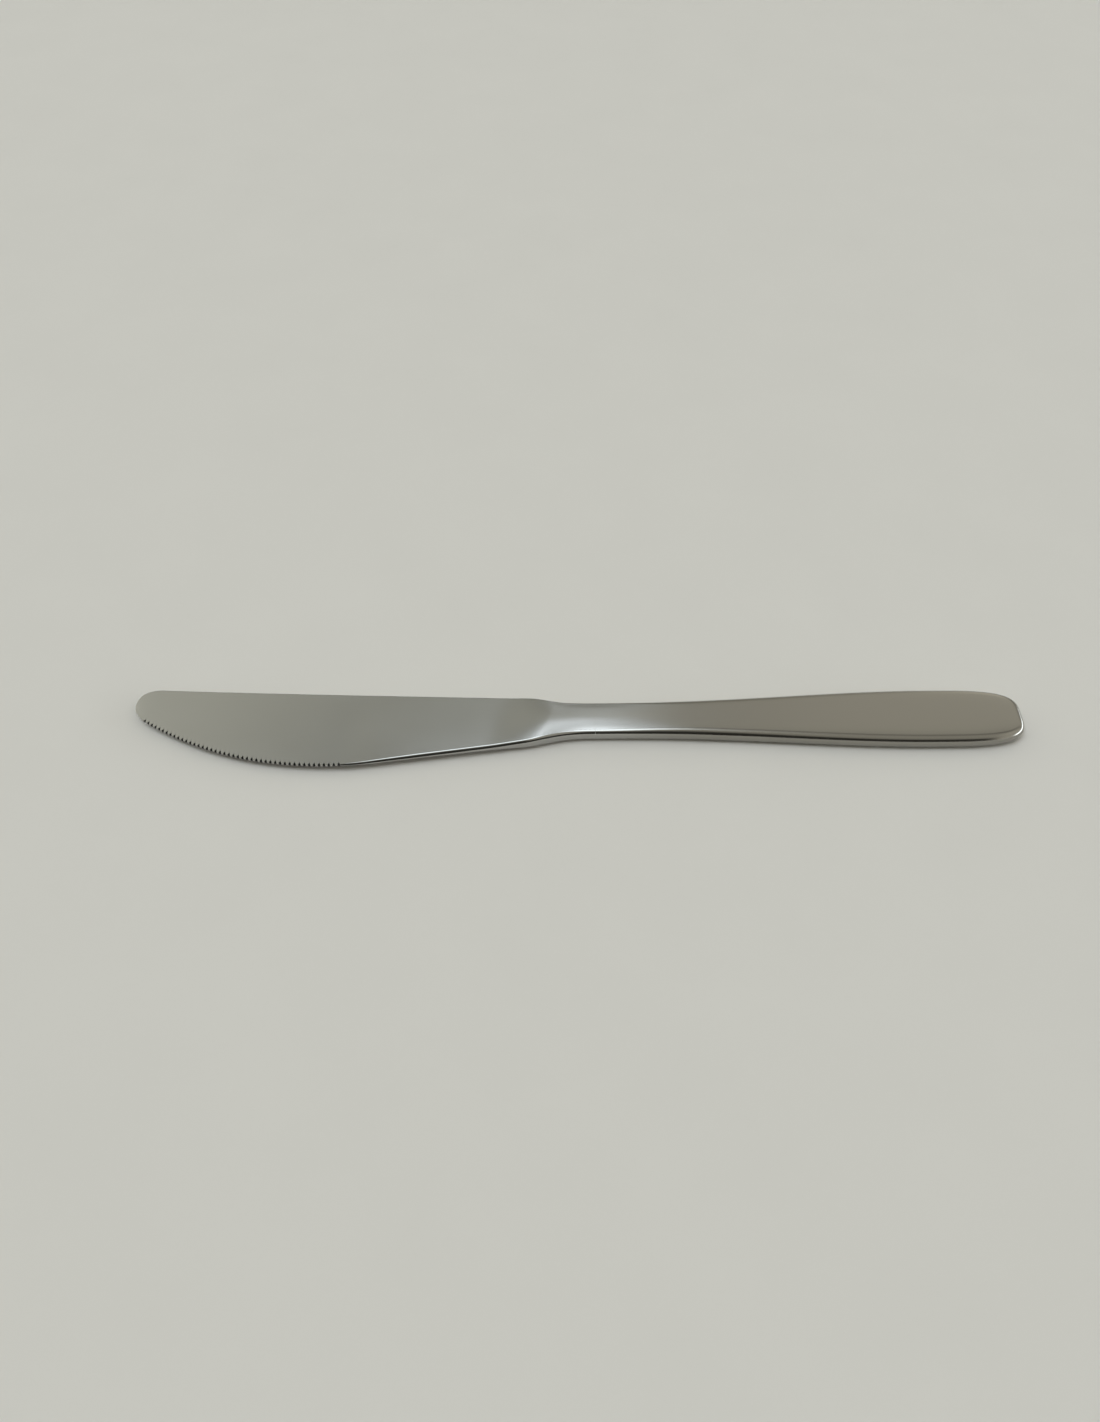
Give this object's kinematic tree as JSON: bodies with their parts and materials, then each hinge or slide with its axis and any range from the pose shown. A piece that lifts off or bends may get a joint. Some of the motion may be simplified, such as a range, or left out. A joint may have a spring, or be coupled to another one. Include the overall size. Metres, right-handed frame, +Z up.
{
  "type": "dessert knife",
  "caption": "All-steel dessert knife with a broad round-tipped blade, fine teeth on the front of its edge, a forged shoulder and a slim flat solid handle.",
  "frame": {"origin": "on the surface that the knife lies on, under the middle of its length and width", "axes": "+X from the tip of the blade to the butt of the handle, +Y from the cutting edge to the spine, +Z up, square to the flat of the blade"},
  "size_m": [0.205, 0.0212, 0.0038],
  "materials": {
    "blade_steel": "fine satin faces with polished rims",
    "handle_steel": "fine satin faces with polished rims",
    "braze_alloy": "ground flush and polished, pale silver braze"
  },
  "bodies": {
    "root": {"blade": "blade_steel", "handle": "handle_steel", "braze_joint": "braze_alloy"}
  },
  "joints": []
}
